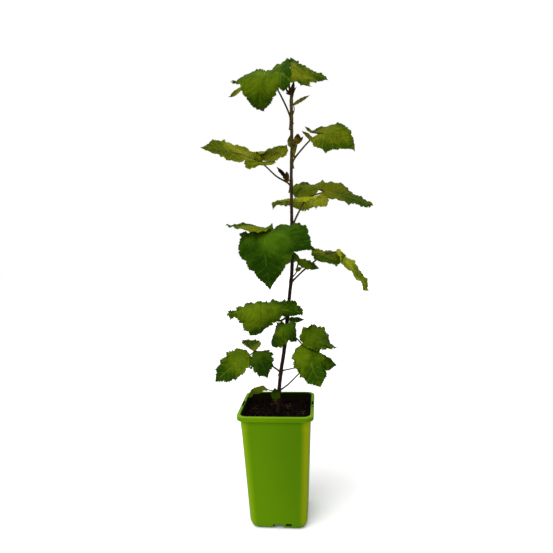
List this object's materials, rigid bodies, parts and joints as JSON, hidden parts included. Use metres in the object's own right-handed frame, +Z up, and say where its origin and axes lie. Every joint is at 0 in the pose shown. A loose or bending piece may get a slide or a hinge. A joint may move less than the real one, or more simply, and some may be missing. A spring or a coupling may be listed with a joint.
{
  "type": "potted berry plant",
  "caption": "Young potted berry plant: a bristly cane with alternate toothed leaves, lobed or split into leaflets, in a tapered square nursery pot filled with compost.",
  "frame": {"origin": "centre of the pot's flat underside, on the ground", "axes": "+Z up along the cane, -Y towards the viewer's side of the picture, +X to the viewer's right"},
  "size_m": [0.2936, 0.2329, 0.8252],
  "materials": {
    "pot": "satin lime green",
    "compost": "dark crumbly compost",
    "cane": "bristly dark purple-brown bark",
    "leaf_top_left": "matt leaf",
    "leaf_top_right": "matt leaf",
    "leaf_upper_right": "matt leaf",
    "leaf_upper_left": "matt leaf",
    "leaf_middle_right": "matt leaf",
    "leaf_heart": "matt leaf",
    "leaf_lower_right": "matt leaf",
    "leaf_lower_left": "matt leaf",
    "leaf_centre": "matt leaf",
    "leaf_young_right": "matt leaf",
    "leaf_three_left": "matt leaf",
    "leaf_three_right": "matt leaf",
    "leaf_foot_right": "matt leaf",
    "leaf_foot_short": "matt leaf",
    "leaf_foot_left": "matt leaf",
    "leaf_foot_small": "matt leaf",
    "leaf_back_upper": "matt leaf",
    "leaf_back_lower": "matt leaf",
    "leaf_narrow_top": "matt leaf",
    "shoot_upper": "matt leaf",
    "leaf_pale_small": "matt leaf",
    "shoot_left": "matt leaf",
    "tip_shoot": "matt leaf"
  },
  "bodies": {
    "root": {"pot": "pot", "compost": "compost", "cane": "cane", "leaf_top_left": "leaf_top_left", "leaf_top_right": "leaf_top_right", "leaf_upper_right": "leaf_upper_right", "leaf_upper_left": "leaf_upper_left", "leaf_middle_right": "leaf_middle_right", "leaf_heart": "leaf_heart", "leaf_lower_right": "leaf_lower_right", "leaf_lower_left": "leaf_lower_left", "leaf_centre": "leaf_centre", "leaf_young_right": "leaf_young_right", "leaf_three_left": "leaf_three_left", "leaf_three_right": "leaf_three_right", "leaf_foot_right": "leaf_foot_right", "leaf_foot_short": "leaf_foot_short", "leaf_foot_left": "leaf_foot_left", "leaf_foot_small": "leaf_foot_small", "leaf_back_upper": "leaf_back_upper", "leaf_back_lower": "leaf_back_lower", "leaf_narrow_top": "leaf_narrow_top", "shoot_upper": "shoot_upper", "leaf_pale_small": "leaf_pale_small", "shoot_left": "shoot_left", "tip_shoot": "tip_shoot"}
  },
  "joints": []
}
